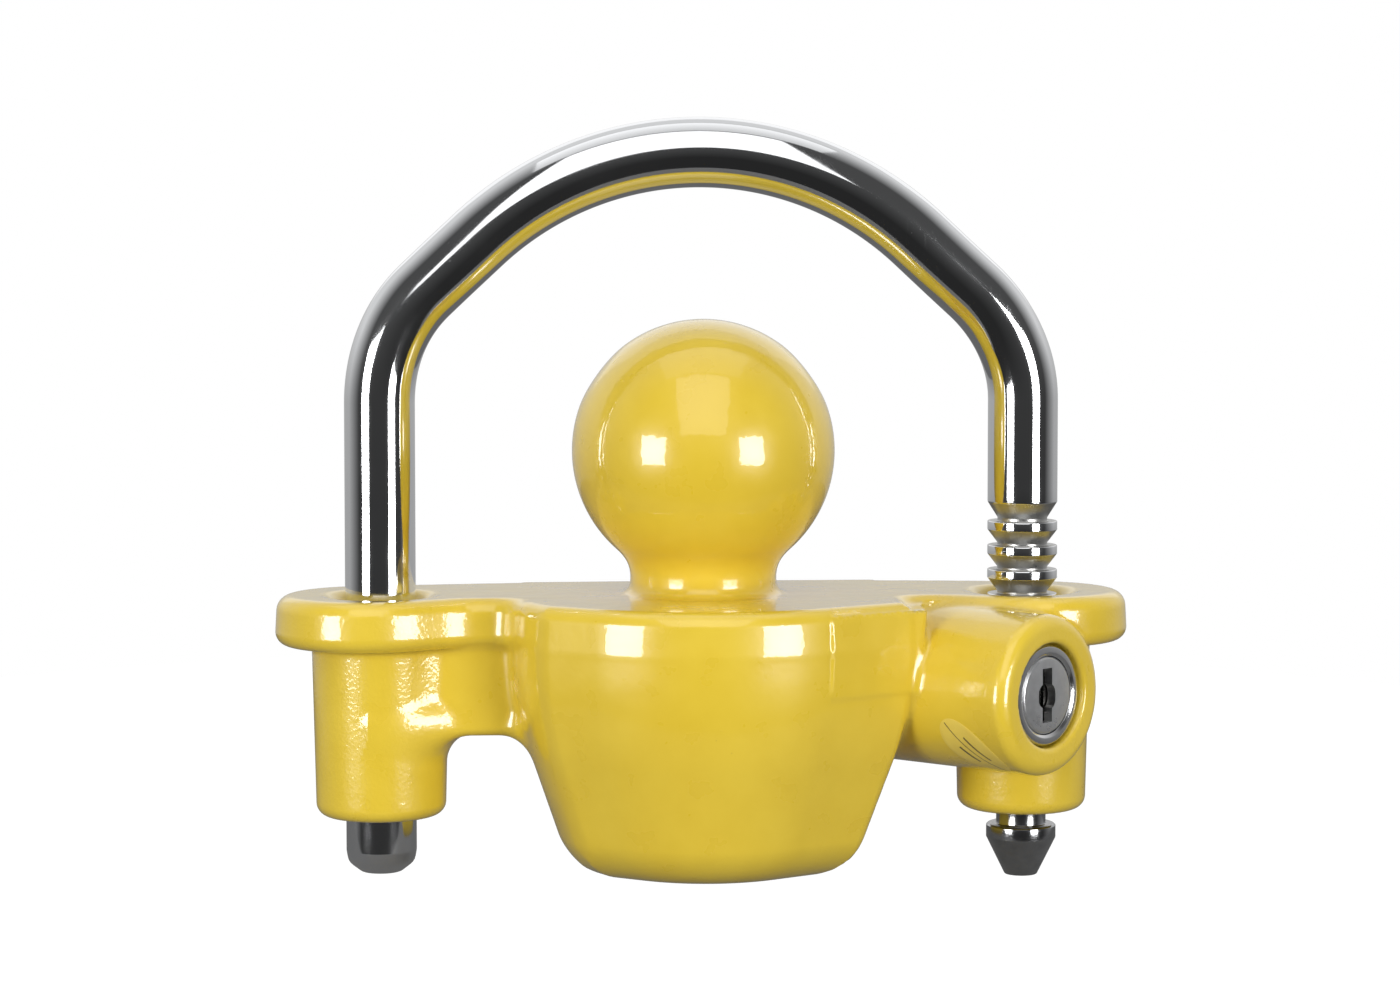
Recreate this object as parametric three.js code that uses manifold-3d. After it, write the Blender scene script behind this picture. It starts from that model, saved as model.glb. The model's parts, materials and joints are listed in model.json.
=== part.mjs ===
// Trailer coupler lock: a cast body whose ball fills the coupler socket, a bent steel
// shackle whose ratchet leg is caught by a sprung bolt, and the key lock that works the bolt.
// Millimetres, +Z up. Origin: centre of the flat underside of the body, on the ball's axis.
// +X runs from the plain leg to the ratchet leg, -Y is the side the key goes in from.
import * as THREE from "three";
import { mergeVertices } from "three/addons/utils/BufferGeometryUtils.js";
import Module from "manifold-3d";

const wasm = await Module();
wasm.setup();

// ---------- driving dimensions (mm) ----------
const BALL_R = 23.8;            // 1-7/8 in coupler ball
const BALL_Z = 75.8;
const NECK_R = 13.25;
const PLATE_TOP = 50;
const PLATE_T = 9;
const EAR_X = 60.3, EAR_Y = 1, EAR_R = 17;
const LEG_X = 58.4;             // shackle legs are 116.8 apart
const LEG_BORE_R = 6.9;
const COUNTERSINK_R = 9.4, COUNTERSINK_DEPTH = 3.4;
const BOSS_TOP_R = 12.6, BOSS_BOTTOM_R = 11.65, BOSS_BOTTOM = 10.2;
const REAR_Y = 22;              // flat back of the body
const CUP_X = 0.25;             // the cup stands this far off the ball's axis

const ROD_R = 6.35;             // 1/2 in bar
const LEG_TOP = 84.7;           // where the legs start to bend
const BEND_R = 27.5, BEND_DEG = 47;
const ARCH_R = 58.4;
const LEFT_TIP = -0.3, RIGHT_TIP = -2.3;
const GROOVE_ROOT_R = 4.525, GROOVE_PITCH = 4.41, GROOVE_TOP_SHOULDER = 62.7;
const LAND = 1.6, ROOT = 0.41, TAPER = 2.4;

const LOCK_FACE = [59.9, -25, 33.8];   // centre of the lock boss's face
const LOCK_OUT = [0.682, -0.7314];     // the way the key comes out
const LOCK_BOSS_R = 14.2, LOCK_BOSS_LEN = 36;
const SHELL_FLANGE_R = 9, SHELL_R = 8.4, SHELL_BORE_R = 7, SHELL_END = 24.2;
const CHAMBER_R = 6.2;
const PLUG_R = 6.85, PLUG_FACE = 1.2, PLUG_END = 12.6;
const TAIL_R = 2.6;
const PIN_E = 0.925, PIN_R = 1;        // eccentric pin: offset along both axes, and radius
const BOLT_S0 = 17.3, BOLT_S1 = 21.5;  // the bolt's thickness along the lock's axis
const WAFER_S = 2.9, WAFER_PITCH = 1.95, WAFER_SLOT = 1.4, WAFER_T = 0.8;

// ---------- helpers ----------
const bare = (g) => {
  const q = g.index ? g.toNonIndexed() : g.clone();
  return new THREE.BufferGeometry().setAttribute("position", q.getAttribute("position"));
};
// A closed solid from a geometry, turned the right way out.
function solid(geometry, matrix) {
  const p = bare(geometry);
  if (matrix) p.applyMatrix4(matrix);
  const m = mergeVertices(p, 1e-3);
  const pos = m.attributes.position.array, idx = Array.from(m.index.array), tri = [];
  let v6 = 0;
  for (let i = 0; i < idx.length; i += 3) {
    const [a, b, c] = [idx[i], idx[i + 1], idx[i + 2]];
    if (a === b || b === c || a === c) continue;
    tri.push(a, b, c);
    const [ax, ay, az] = [pos[3 * a], pos[3 * a + 1], pos[3 * a + 2]];
    const [bx, by, bz] = [pos[3 * b], pos[3 * b + 1], pos[3 * b + 2]];
    const [cx, cy, cz] = [pos[3 * c], pos[3 * c + 1], pos[3 * c + 2]];
    v6 += ax * (by * cz - bz * cy) + ay * (bz * cx - bx * cz) + az * (bx * cy - by * cx);
  }
  if (v6 < 0) for (let i = 0; i < tri.length; i += 3) [tri[i + 1], tri[i + 2]] = [tri[i + 2], tri[i + 1]];
  return new wasm.Manifold(new wasm.Mesh({ numProp: 3, vertProperties: new Float32Array(pos), triVerts: new Uint32Array(tri) }));
}
function toGeometry(m) {
  const mesh = m.getMesh();
  const n = mesh.numProp, count = mesh.vertProperties.length / n, pos = new Float32Array(count * 3);
  for (let i = 0; i < count; i++) for (let k = 0; k < 3; k++) pos[3 * i + k] = mesh.vertProperties[n * i + k];
  const g = new THREE.BufferGeometry();
  g.setAttribute("position", new THREE.BufferAttribute(pos, 3));
  g.setIndex(Array.from(mesh.triVerts));
  g.computeVertexNormals();
  return g;
}
const unite = (...s) => s.reduce((a, b) => a.add(b));
const cut = (s, ...t) => t.reduce((a, b) => a.subtract(b), s);
const T = (x, y, z) => new THREE.Matrix4().makeTranslation(x, y, z);
const V2 = (x, y) => new THREE.Vector2(x, y);
const box = (x0, x1, y0, y1, z0, z1, m) => {
  const g = new THREE.BoxGeometry(x1 - x0, y1 - y0, z1 - z0).translate((x0 + x1) / 2, (y0 + y1) / 2, (z0 + z1) / 2);
  return solid(g, m);
};
// Turned about the Y axis: pairs of [radius, y].
const turnedY = (pts, seg, m) => solid(new THREE.LatheGeometry(pts.map(([r, y]) => V2(r, y)), seg), m);
// Turned about the Z axis: pairs of [radius, z].
const turnedZ = (pts, seg, x = 0, y = 0) =>
  turnedY(pts, seg, T(x, y, 0).multiply(new THREE.Matrix4().makeRotationX(Math.PI / 2)));
// An outline in XY raised from z0 to z1.
const raised = (pts, z0, z1, bevel = 0, m) => {
  const g = new THREE.ExtrudeGeometry(new THREE.Shape(pts.map(([x, y]) => V2(x, y))), {
    depth: z1 - z0 - 2 * bevel, bevelEnabled: bevel > 0, bevelThickness: bevel, bevelSize: bevel,
    bevelOffset: -bevel, bevelSegments: 2, steps: 1,
  }).translate(0, 0, z0 + bevel);
  return solid(g, m);
};
// An outline in XZ carried along Y from y0 to y1.
const carried = (pts, y0, y1, m) => {
  const g = new THREE.ExtrudeGeometry(new THREE.Shape(pts.map(([x, z]) => V2(x, z))), { depth: y1 - y0, bevelEnabled: false, steps: 1 });
  g.rotateX(Math.PI / 2).translate(0, y1, 0);
  return solid(g, m);
};
// A stack of convex outlines joined by walls: a lathe mesh whose rings are moved onto them.
function stacked(rings) {
  const n = rings[0].length, p = [];
  const tri = (a, b, c) => p.push(...a, ...b, ...c);
  for (let k = 0; k + 1 < rings.length; k++)
    for (let i = 0; i < n; i++) {
      const j = (i + 1) % n;
      tri(rings[k][i], rings[k][j], rings[k + 1][j]);
      tri(rings[k][i], rings[k + 1][j], rings[k + 1][i]);
    }
  for (let i = 1; i + 1 < n; i++) {
    tri(rings[0][0], rings[0][i + 1], rings[0][i]);
    const e = rings[rings.length - 1];
    tri(e[0], e[i], e[i + 1]);
  }
  return solid(new THREE.BufferGeometry().setAttribute("position", new THREE.Float32BufferAttribute(p, 3)));
}
const root = new THREE.Group();
function node(parent, name, shape, color, roughness, metalness) {
  const mesh = new THREE.Mesh(toGeometry(shape), new THREE.MeshStandardMaterial({ color, roughness, metalness }));
  mesh.name = name;
  parent.add(mesh);
  return mesh;
}
const YELLOW = 0xe0bd3e, CHROME = 0xd6d9dc, STEEL = 0x9a9da1, NICKEL = 0x8f8d88, SPRING = 0xa7abb0, PAPER = 0xe6c860;

// ---------- lock frame: x across towards the ratchet leg, y inwards from the face, z up ----------
const across = new THREE.Vector3(-LOCK_OUT[1], LOCK_OUT[0], 0).normalize();
const inward = new THREE.Vector3(-LOCK_OUT[0], -LOCK_OUT[1], 0).normalize();
const lockFrame = new THREE.Matrix4().makeBasis(across, inward, new THREE.Vector3(0, 0, 1)).setPosition(...LOCK_FACE);
const lock = new THREE.Group();
lock.applyMatrix4(lockFrame);
root.add(lock);
const legAcross = 15.95, legIn = 19.3;   // the ratchet leg's axis in the lock frame

// ---------- cast body ----------
// Plan of the cup: a round front, tangent flats, straight sides and a flat back.
const FLAT = THREE.MathUtils.degToRad(28), FS = Math.sin(FLAT), FC = Math.cos(FLAT);
const cupRing = (w, r, z, back = REAR_Y, n = 12, rx = 3, soft = 2.2) => {
  const y = (w * FS - r) / FC;                                      // where a flat meets a side
  const corner = [[w - soft * FC, y - soft * FS, z], [w - (soft * FC) / 4, y + (soft * (1 - FS)) / 4, z], [w, y + soft, z]];
  const pts = corner.map(([a, b, c]) => [-a, b, c]).reverse();
  for (let i = 0; i <= n; i++) {
    const a = -FLAT + (2 * FLAT * i) / n;
    pts.push([r * Math.sin(a), -r * Math.cos(a), z]);
  }
  pts.push(...corner, [w, back - rx, z], [w - rx, back, z], [-w + rx, back, z], [-w, back - rx, z]);
  return pts.map(([a, b, c]) => [a + CUP_X, b, c]);
};
const CUP = [[17.3, 18, 0], [20.7, 21.4, 0.7], [23.3, 24, 2.2], [25.5, 26.2, 4.5], [27.2, 28, 8], [28.8, 29.6, 12.4],
  [30.8, 31.6, 18], [32.6, 33.4, 23.5], [34.2, 35, 29], [35, 35.8, 38], [35.3, 36.1, 41], [35.3, 36.1, 49]];
const cup = stacked(CUP.map(([w, f, z]) => cupRing(w, f, z)));
const pocketFull = stacked([[20.6, 21, 6.2], [23.4, 23.8, 12.4], [25.4, 25.8, 18], [27.8, 28, 29], [28.4, 28.6, 41]]
  .map(([w, f, z]) => cupRing(w, f, z, REAR_Y + 8)));
const pockets = cut(pocketFull, box(-2.6, 2.6, -40, 40, 0, 50));

const half = [];
for (let i = 0; i <= 8; i++) {
  const a = (FLAT * i) / 8;
  half.push([36.2 * Math.sin(a), -36.2 * Math.cos(a)]);
}
half[0][0] = 0;
half.push([30.6, -24.7], [34.2, -19.4], [36.8, -13.4], [40.6, -11], [44, -10.5], [47, -10.8]);
for (let i = 0; i <= 14; i++) {
  const a = THREE.MathUtils.degToRad(228 + (229 * i) / 14);
  half.push([EAR_X + EAR_R * Math.cos(a), EAR_Y + EAR_R * Math.sin(a)]);
}
half.push([52, 18.7], [45, 19.5], [32, 21], [19, 22.1], [0, 22.5]);
const outline = [...half, ...half.slice(1, -1).reverse().map(([x, y]) => [-x, y])];
const plate = raised(outline, PLATE_TOP - PLATE_T, PLATE_TOP, 1.4);

const legBoss = (x) => turnedZ([[0, BOSS_BOTTOM], [BOSS_BOTTOM_R - 2, BOSS_BOTTOM], [BOSS_BOTTOM_R - 0.5, BOSS_BOTTOM + 0.6],
  [BOSS_BOTTOM_R, BOSS_BOTTOM + 2], [BOSS_TOP_R, PLATE_TOP - 1], [0, PLATE_TOP - 1]], 36, x, 0);
const web = (s) => carried([[s * 30, 20], [s * 34, 21.2], [s * 36.5, 23.4], [s * 39.5, 24.2], [s * 43, 24.2], [s * 45.8, 23.2],
  [s * 47.6, 20.4], [s * 58, 20], [s * 58, 45], [s * 30, 45]], -8.5, 13);
const neck = turnedZ([[0, 49], [17.4, 49], [17.4, 50], [15.4, 50.5], [14.1, 51.7], [NECK_R, 54], [NECK_R, 60], [0, 60]], 40);
const ball = solid(new THREE.SphereGeometry(BALL_R, 40, 22).rotateX(Math.PI / 2), T(0, 0, BALL_Z));
const lockBoss = turnedY([[0, 0], [LOCK_BOSS_R - 2.4, 0], [LOCK_BOSS_R - 0.7, 0.7], [LOCK_BOSS_R, 2.4],
  [LOCK_BOSS_R, LOCK_BOSS_LEN], [0, LOCK_BOSS_LEN]], 40, lockFrame);
const rimBlock = raised([[26, 2], [26, -27], [37.9, -20.6], [37.9, 2]], 33.8, 48.6);

const legBore = (x) => turnedZ([[0, -5], [LEG_BORE_R, -5], [LEG_BORE_R, PLATE_TOP - COUNTERSINK_DEPTH], [COUNTERSINK_R, PLATE_TOP + 0.01],
  [COUNTERSINK_R, PLATE_TOP + 5], [0, PLATE_TOP + 5]], 32, x, 0);
const lockBore = turnedY([[0, -1], [9.3, -1], [9.3, 4], [SHELL_R + 0.25, 4], [SHELL_R + 0.25, SHELL_END + 0.4], [0, SHELL_END + 0.4]], 40, lockFrame);
const boltWindow = box(7, 11.6, BOLT_S0 - 0.2, BOLT_S1 + 0.2, -2.2, 0.9, lockFrame);
const pinHoleAt = 15.6;
const rollPinHole = solid(new THREE.CylinderGeometry(1.55, 1.55, 10, 16).rotateX(Math.PI / 2),
  lockFrame.clone().multiply(T(0, pinHoleAt, -12.9)));

const body = cut(
  unite(cup, plate, legBoss(-LEG_X), legBoss(LEG_X), web(-1), web(1), neck, ball, lockBoss, rimBlock),
  legBore(-LEG_X), legBore(LEG_X), lockBore, boltWindow, rollPinHole, pockets);
node(root, "coupler_body", body, YELLOW, 0.25, 0.05);

// ---------- shackle: a turned bar, grooved at one end, then bent ----------
const bendA = THREE.MathUtils.degToRad(BEND_DEG);
const apexHalf = ARCH_R * Math.sin(Math.PI / 2 - bendA);               // half chord of the top arc
const bendDx = BEND_R * (1 - Math.cos(bendA)), bendDz = BEND_R * Math.sin(bendA);
const slopeX = LEG_X - bendDx - apexHalf;                              // run of the straight between the arcs
const slopeLen = slopeX / Math.sin(bendA);
// Arc lengths along the centreline, from the plain leg's tip.
const L1 = LEG_TOP - LEFT_TIP, L2 = L1 + BEND_R * bendA, L3 = L2 + slopeLen;
const L4 = L3 + 2 * ARCH_R * (Math.PI / 2 - bendA), L5 = L4 + slopeLen, L6 = L5 + BEND_R * bendA, L7 = L6 + LEG_TOP - RIGHT_TIP;
const archZ = LEG_TOP + bendDz + slopeLen * Math.cos(bendA) - ARCH_R * Math.sin(bendA);   // centre of the top arc
function centreline(s) {                                               // point and tangent in XZ
  const right = s > (L3 + L4) / 2, q = right ? L3 + L4 - s : s;        // the arch is symmetric about X = 0
  let x, z, tx, tz;
  if (q <= L1) [x, z, tx, tz] = [-LEG_X, LEFT_TIP + q, 0, 1];
  else if (q <= L2) {
    const a = (q - L1) / BEND_R;
    [x, z, tx, tz] = [-LEG_X + BEND_R * (1 - Math.cos(a)), LEG_TOP + BEND_R * Math.sin(a), Math.sin(a), Math.cos(a)];
  } else if (q <= L3) {
    const d = q - L2;
    [x, z, tx, tz] = [-LEG_X + bendDx + d * Math.sin(bendA), LEG_TOP + bendDz + d * Math.cos(bendA), Math.sin(bendA), Math.cos(bendA)];
  } else {
    const a = bendA + (q - L3) / ARCH_R;
    [x, z, tx, tz] = [-ARCH_R * Math.cos(a), archZ + ARCH_R * Math.sin(a), Math.sin(a), Math.cos(a)];
  }
  return right ? [-x, z, tx, -tz] : [x, z, tx, tz];
}
const bar = [[0, 0], [3.3, 0], [5, 0.7], [6, 1.8], [ROD_R, 3.2], [ROD_R, L1]];
const span = (a, b, n) => { for (let i = 1; i <= n; i++) bar.push([ROD_R, a + ((b - a) * i) / n]); };
span(L1, L2, 7); span(L2, L3, 1); span(L3, L4, 14); span(L4, L5, 1); span(L5, L6, 7);
const zToS = (z) => L6 + (LEG_TOP - z);
bar.push([ROD_R, zToS(66.2)], [GROOVE_ROOT_R, zToS(63.3)], [GROOVE_ROOT_R, zToS(GROOVE_TOP_SHOULDER)], [ROD_R, zToS(GROOVE_TOP_SHOULDER)]);
for (let k = 0; k < 12; k++) {
  const z = GROOVE_TOP_SHOULDER - GROOVE_PITCH * k - LAND;
  bar.push([ROD_R, zToS(z)], [GROOVE_ROOT_R, zToS(z - TAPER)], [GROOVE_ROOT_R, zToS(z - TAPER - ROOT)], [ROD_R, zToS(z - TAPER - ROOT)]);
}
bar.push([ROD_R, zToS(4.6)], [2.9, zToS(RIGHT_TIP)], [0, zToS(RIGHT_TIP)]);
const barGeometry = new THREE.LatheGeometry(bar.map(([r, y]) => V2(r, y)), 20);
const bp = barGeometry.attributes.position;
for (let i = 0; i < bp.count; i++) {
  const [px, s, pz] = [bp.getX(i), bp.getY(i), bp.getZ(i)];
  const [x, z, tx, tz] = centreline(s);
  bp.setXYZ(i, x + px * tz, pz, z - px * tx);
}
node(root, "shackle", solid(barGeometry), CHROME, 0.08, 1);

// ---------- lock shell, pressed into the boss ----------
const shell = cut(
  turnedY([[0, 1], [SHELL_FLANGE_R - 0.5, 1], [SHELL_FLANGE_R, 1.4], [SHELL_FLANGE_R, 3.7], [SHELL_R, 3.7], [SHELL_R, SHELL_END], [0, SHELL_END]], 40),
  turnedY([[0, 0], [SHELL_BORE_R, 0], [SHELL_BORE_R, 12.8], [0, 12.8]], 40),
  turnedY([[0, 12], [2.9, 12], [2.9, 15], [0, 15]], 24),
  turnedY([[0, 14], [CHAMBER_R, 14], [CHAMBER_R, SHELL_END + 1], [0, SHELL_END + 1]], 32),
  box(-3.1, 3.1, 2.4, 12.8, -7.45, 7.45),
  box(3.5, 10, BOLT_S0 - 0.3, BOLT_S1 + 0.3, -4.2, 4.2),
  solid(new THREE.CylinderGeometry(1.55, 1.55, 4, 16).rotateX(Math.PI / 2), T(0, pinHoleAt, -8.7)));
node(lock, "lock_shell", shell, CHROME, 0.18, 1);

// ---------- plug ----------
const waferS = (i) => WAFER_S + WAFER_PITCH * i;
const keyway = [[-1.35, 4.8], [-1.35, 2], [-2.5, 1.1], [-2.5, -1.3], [-1.35, -2], [-1.35, -4.8], [1.35, -4.8], [1.35, -2.4], [2.3, -1.4],
  [2.3, 0.9], [1.35, 1.8], [1.35, 4.8]];
const plugCuts = [carried(keyway, 0, 12.2)];
for (let i = 0; i < 5; i++) {
  plugCuts.push(box(-3.2, 3.2, waferS(i), waferS(i) + WAFER_SLOT, -8, 8));
  plugCuts.push(box(3, 5.2, waferS(i), waferS(i) + WAFER_SLOT, -0.9, 4));
}
const plug = cut(
  unite(turnedY([[0, PLUG_FACE], [PLUG_R - 0.35, PLUG_FACE], [PLUG_R, PLUG_FACE + 0.35], [PLUG_R, PLUG_END], [TAIL_R, PLUG_END],
    [TAIL_R, 14.1], [2.05, 14.1], [2.05, 15.1], [0, 15.1]], 40),
    box(-1.75, 1.75, 15, 16, -1.75, 1.75)),
  ...plugCuts);
node(lock, "lock_plug", plug, 0xb4b6b9, 0.35, 1);

// ---------- wafers and their springs ----------
const helix = (x, y, z, len, r, wire, turns, perTurn, sides, axis) => {
  class Coil extends THREE.Curve {
    getPoint(t, out = new THREE.Vector3()) {
      const a = 2 * Math.PI * turns * t, u = r * Math.cos(a), v = r * Math.sin(a), w = wire + (len - 2 * wire) * t;
      return axis === "z" ? out.set(x + u, y + v, z + w) : out.set(x + w, y + u, z + v);
    }
  }
  const ring = [];
  for (let i = 0; i < sides; i++) ring.push(V2(wire * Math.cos((2 * Math.PI * i) / sides), wire * Math.sin((2 * Math.PI * i) / sides)));
  return solid(new THREE.ExtrudeGeometry(new THREE.Shape(ring), { steps: Math.round(turns * perTurn), bevelEnabled: false, extrudePath: new Coil() }));
};
const windowTop = [3.9, 3.3, 3.7, 3, 3.5], windowBottom = [-3.2, -3.8, -3.4, -4, -3.6];
for (let i = 0; i < 5; i++) {
  const s0 = waferS(i) + (WAFER_SLOT - WAFER_T) / 2, s1 = s0 + WAFER_T;
  const plateW = carried([[-2.9, -5.6], [-2.2, -6.1], [2.2, -6.1], [2.9, -5.6], [2.9, -0.6], [4.85, -0.6], [4.85, 0.6], [2.9, 0.6],
    [2.9, 5.1], [2.2, 5.5], [-2.2, 5.5], [-2.9, 5.1]], s0, s1);
  node(lock, `wafer_${i + 1}`, cut(plateW, box(-1.5, 1.5, s0 - 1, s1 + 1, windowBottom[i], windowTop[i])), NICKEL, 0.4, 1);
  node(lock, `wafer_spring_${i + 1}`, helix(4.35, (s0 + s1) / 2, 0.8, 3, 0.36, 0.12, 4, 9, 5, "z"), SPRING, 0.3, 1);
}

// ---------- tail clip, cam, bolt and its spring, chamber cap, roll pin ----------
const clipPts = [];
for (let i = 0; i <= 16; i++) { const a = THREE.MathUtils.degToRad(-60 + (300 * i) / 16); clipPts.push([4.4 * Math.cos(a), 4.4 * Math.sin(a)]); }
for (let i = 16; i >= 0; i--) { const a = THREE.MathUtils.degToRad(-60 + (300 * i) / 16); clipPts.push([2.4 * Math.cos(a), 2.4 * Math.sin(a)]); }
node(lock, "plug_clip", carried(clipPts, 14.35, 14.85), STEEL, 0.35, 1);

const cam = cut(
  unite(turnedY([[0, 15.3], [4.6, 15.3], [4.6, 17], [0, 17]], 28),
    turnedY([[0, 16.5], [PIN_R, 16.5], [PIN_R, 21], [0, 21]], 16, T(-PIN_E, 0, PIN_E))),
  box(-2.1, 2.1, 15, 16.3, -2.1, 2.1));
node(lock, "lock_cam", cam, STEEL, 0.35, 1);

const bolt = cut(
  unite(box(-4.4, 5.3, BOLT_S0, BOLT_S1, -3.9, 3.9),
    carried([[4.5, -1.8], [9.35, -1.8], [9.35, -1.5], [7.75, 0.4], [4.5, 0.4]], BOLT_S0 + 0.2, BOLT_S1 - 0.2)),
  box(-PIN_E - PIN_R - 0.35, -PIN_E + PIN_R + 0.35, BOLT_S0 - 1, BOLT_S1 + 1, -0.375, 2.61),
  solid(new THREE.CylinderGeometry(1.2, 1.2, 7.4, 14).rotateZ(Math.PI / 2), T(-1.2, (BOLT_S0 + BOLT_S1) / 2, -2.15)));
node(lock, "lock_bolt", bolt, STEEL, 0.3, 1);
node(lock, "bolt_spring", helix(-5.55, (BOLT_S0 + BOLT_S1) / 2, -2.15, 7.7, 0.8, 0.2, 7, 10, 5, "x"), SPRING, 0.3, 1);

node(lock, "chamber_cap", turnedY([[0, 22.1], [5.7, 22.1], [5.9, 22.3], [5.9, 23.9], [0, 23.9]], 32), STEEL, 0.4, 1);

const pinRing = [];
for (let i = 0; i <= 14; i++) { const a = THREE.MathUtils.degToRad(20 + (320 * i) / 14); pinRing.push([1.25 * Math.cos(a), 1.25 * Math.sin(a)]); }
for (let i = 14; i >= 0; i--) { const a = THREE.MathUtils.degToRad(20 + (320 * i) / 14); pinRing.push([0.7 * Math.cos(a), 0.7 * Math.sin(a)]); }
node(lock, "shell_roll_pin", raised(pinRing, -14, -7.05, 0, T(0, pinHoleAt, 0)), STEEL, 0.35, 1);

// ---------- oval inspection label wrapped on the lock boss ----------
const labelA = THREE.MathUtils.degToRad(225), labelTube = turnedY([[14.5, -2], [14.7, -2], [14.7, 26], [14.5, 26], [14.5, -2]], 96);
const oval = [];
for (let i = 0; i < 28; i++) {
  const a = (2 * Math.PI * i) / 28, u = 8.6 * Math.cos(a), v = 5 * Math.sin(a), c = Math.cos(0.72), s = Math.sin(0.72);
  oval.push([u * c - v * s, u * s + v * c]);
}
const ovalGeometry = new THREE.ExtrudeGeometry(new THREE.Shape(oval.map(([x, y]) => V2(x, y))), { depth: 9, bevelEnabled: false });
const radial = new THREE.Vector3(Math.cos(labelA), 0, Math.sin(labelA)), along = new THREE.Vector3(0, 1, 0);
const around = new THREE.Vector3().crossVectors(radial, along);
const ovalFrame = new THREE.Matrix4().makeBasis(along, around, new THREE.Vector3().crossVectors(along, around))
  .setPosition(radial.clone().multiplyScalar(13).addScaledVector(along, 8.8));
if (new THREE.Vector3().crossVectors(along, around).dot(radial) < 0)
  ovalFrame.setPosition(radial.clone().multiplyScalar(22).addScaledVector(along, 8.8));
node(lock, "inspection_label", labelTube.intersect(solid(ovalGeometry, ovalFrame)), PAPER, 0.45, 0);

export default root;
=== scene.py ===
import json
import math

import bmesh
import bpy
import numpy as np
from mathutils import Matrix, Vector

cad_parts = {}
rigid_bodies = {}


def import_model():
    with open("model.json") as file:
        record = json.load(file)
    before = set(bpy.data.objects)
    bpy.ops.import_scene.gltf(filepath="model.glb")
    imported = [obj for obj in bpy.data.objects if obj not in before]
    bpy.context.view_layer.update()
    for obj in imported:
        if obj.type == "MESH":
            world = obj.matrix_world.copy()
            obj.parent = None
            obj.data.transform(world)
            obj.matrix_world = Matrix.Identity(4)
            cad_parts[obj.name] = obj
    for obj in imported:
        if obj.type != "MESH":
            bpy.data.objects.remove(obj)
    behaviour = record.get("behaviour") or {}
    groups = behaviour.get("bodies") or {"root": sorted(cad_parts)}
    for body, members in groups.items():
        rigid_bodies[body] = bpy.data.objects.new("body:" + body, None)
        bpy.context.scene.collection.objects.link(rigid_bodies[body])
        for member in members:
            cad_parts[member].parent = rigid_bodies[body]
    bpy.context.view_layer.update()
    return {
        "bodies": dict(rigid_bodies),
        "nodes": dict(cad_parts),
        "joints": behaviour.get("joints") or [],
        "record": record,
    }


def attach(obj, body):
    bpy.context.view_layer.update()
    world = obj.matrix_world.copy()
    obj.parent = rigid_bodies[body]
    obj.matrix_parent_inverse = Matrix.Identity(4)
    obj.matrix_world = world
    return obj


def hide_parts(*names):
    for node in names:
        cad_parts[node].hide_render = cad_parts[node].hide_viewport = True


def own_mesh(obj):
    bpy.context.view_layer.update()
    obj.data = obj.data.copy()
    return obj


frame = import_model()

MM = 0.001
scene = bpy.context.scene

# ------------------------------------------------------------------ sizes, mm
BALL_R, BALL_Z, NECK_R = 23.8, 75.8, 13.25
PLATE_TOP, PLATE_T = 50.0, 9.0
EAR_X, EAR_Y, EAR_R = 60.4, 1.0, 17.0
LEG_X, LEG_BORE_R = 58.4, 6.9
COUNTERSINK_R, COUNTERSINK_DEPTH = 9.4, 3.4
BOSS_TOP_R, BOSS_BOTTOM_R, BOSS_BOTTOM = 12.6, 11.65, 10.1
REAR_Y = 22.0
FACE = np.array([59.9, -25.0, 33.8])
OUT = np.array([0.682, -0.7314, 0.0]); OUT /= np.linalg.norm(OUT)
INW = -OUT
ACR = np.array([-OUT[1], OUT[0], 0.0])
UP = np.array([0.0, 0.0, 1.0])
LOCK_BOSS_R, LOCK_BOSS_LEN = 14.3, 36.0


# ------------------------------------------------------------------ signed distances
def smin(a, b, k):
    h = np.maximum(k - np.abs(a - b), 0.0) / k
    return np.minimum(a, b) - h * h * k * 0.25


def smax(a, b, k):
    return -smin(-a, -b, k)


def rmax(a, b, r):
    """Intersection whose edge is rounded with radius r."""
    u, v = np.maximum(r + a, 0.0), np.maximum(r + b, 0.0)
    return np.minimum(-r, np.maximum(a, b)) + np.hypot(u, v)


def rmin(a, b, r):
    """Union whose inner corner is filled with radius r."""
    return -rmax(-a, -b, r)


def ramp(t, a, b):
    q = np.clip((t - a) / (b - a), 0.0, 1.0)
    return q * q * (3 - 2 * q)


CUP_X = 0.5
FLAT_L, FLAT_R, CORNER = math.radians(34.5), math.radians(30.5), math.radians(62)


def flat_of(ax, y, r, a):
    """A flat that leaves the round front at a tangent."""
    return ax * np.sin(a) - (y - 0.05 * r) * np.cos(a) - 1.05 * r


def front_of(x, y, r):
    """Plan of the cup ahead: an arc that reaches y = -r, then the flats.
    The corner away from the lock is cut back by a second flat."""
    a = np.where(x < 0, FLAT_L, FLAT_R)
    ax, yc = np.abs(x), y - 0.05 * r
    front = np.where(ax * np.cos(a) < -yc * np.sin(a), np.hypot(x, yc) - 1.05 * r, flat_of(ax, y, r, a))
    second = -x * math.sin(CORNER) - y * math.cos(CORNER) - 1.052 * r
    return rmax(front, second, 1.0)


def lobe(x, y, w, r):
    """The whole plan: the front, then straight sides at |x| = w."""
    x = x - CUP_X
    f = front_of(x, y, r)
    return np.where(x < 0, rmax(f, -x - w, 2.6), rmax(f, x - w, 1.1))


def rear(x):
    return 22.5 - 0.00135 * x * x


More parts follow.
